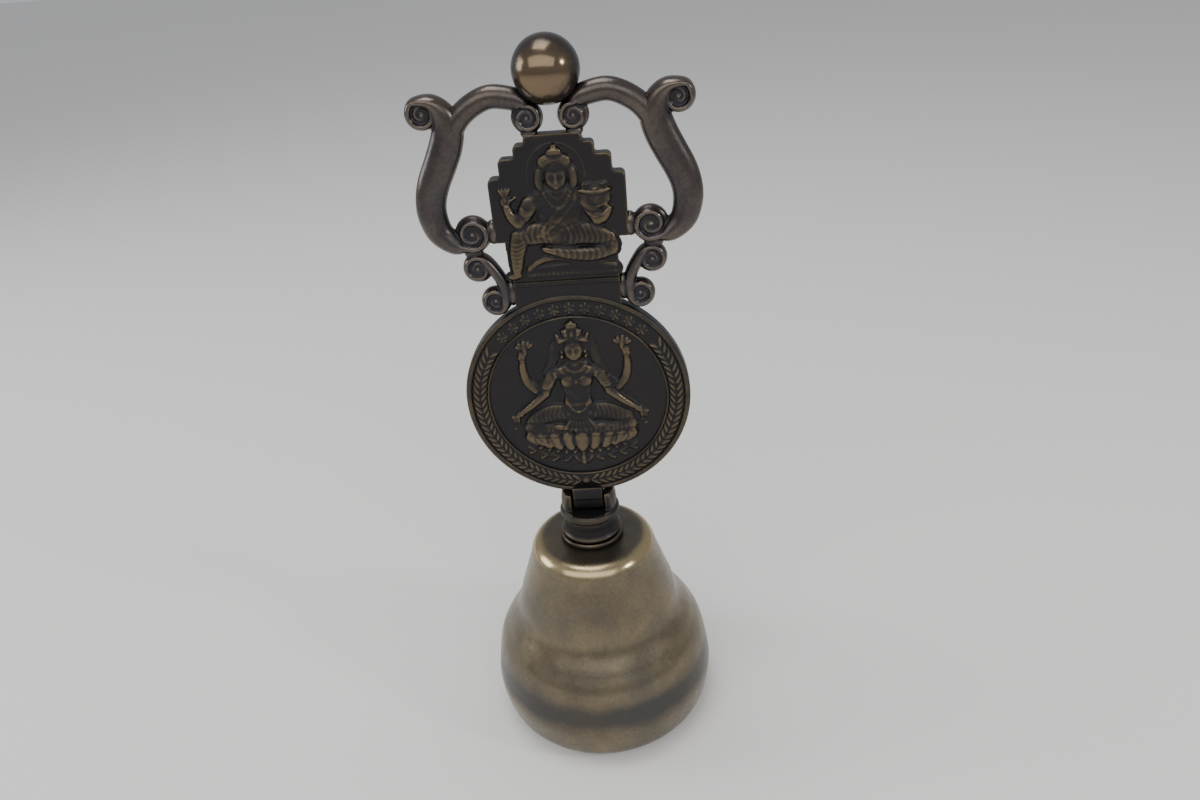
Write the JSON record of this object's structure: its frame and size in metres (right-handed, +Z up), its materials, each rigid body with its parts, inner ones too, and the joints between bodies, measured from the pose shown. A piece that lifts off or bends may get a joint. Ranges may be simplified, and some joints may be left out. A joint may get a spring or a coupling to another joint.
{
  "type": "brass puja bell",
  "caption": "Antiqued brass hand bell with a free-swinging clapper, held by a flat cast handle of medallion, stepped plaque, scroll arms and ball finial.",
  "frame": {"origin": "middle of the bell's rim plane, on the surface that the bell stands on", "axes": "+Z up along the bell's axis to the ball, +X across the flat handle, -Y out of the front of the handle where the figures are"},
  "size_m": [0.0508, 0.0486, 0.1455],
  "materials": {
    "bell_brass": "antiqued brass, lacquered, satin to glossy, olive brown",
    "cast_brass": "blackened cast brass, dark patina in the recesses, rubbed on the high spots",
    "scroll_brass": "antiqued cast brass, smooth, rubbed brighter along the crest",
    "finial_brass": "antiqued brass, glossy with fine pits and scratches",
    "clapper_brass": "turned brass, dulled, with a worn striking band",
    "wire_brass": "drawn brass wire, dulled",
    "fixing_steel": "plated steel fixings, slightly tarnished"
  },
  "bodies": {
    "bell": {"bell_cup": "bell_brass", "seat_washer": "cast_brass", "neck_ferrule": "cast_brass", "inner_washer": "fixing_steel", "hex_nut": "fixing_steel", "hanger_stud": "fixing_steel", "medallion": "cast_brass", "goddess_relief": "cast_brass", "back_rosette": "cast_brass", "stepped_plaque": "cast_brass", "seated_figure_relief": "cast_brass", "left_scroll_arm": "scroll_brass", "left_bracket_scroll": "scroll_brass", "left_crown_arm": "scroll_brass", "right_scroll_arm": "scroll_brass", "right_bracket_scroll": "scroll_brass", "right_crown_arm": "scroll_brass", "finial_ball": "finial_brass"},
    "link": {"clapper_link": "wire_brass"},
    "clapper": {"clapper_rod": "wire_brass", "clapper_ball": "clapper_brass"}
  },
  "joints": [
    {"name": "link_swing", "type": "hinge", "parent": "bell", "child": "link", "pos_m": [0, 0, 0.0347], "axis": [0, 1, 0], "range_deg": [-38, 38]},
    {"name": "clapper_sway", "type": "hinge", "parent": "link", "child": "clapper", "pos_m": [0, 0, 0.0243], "axis": [1, 0, 0], "range_deg": [-18, 18]}
  ]
}
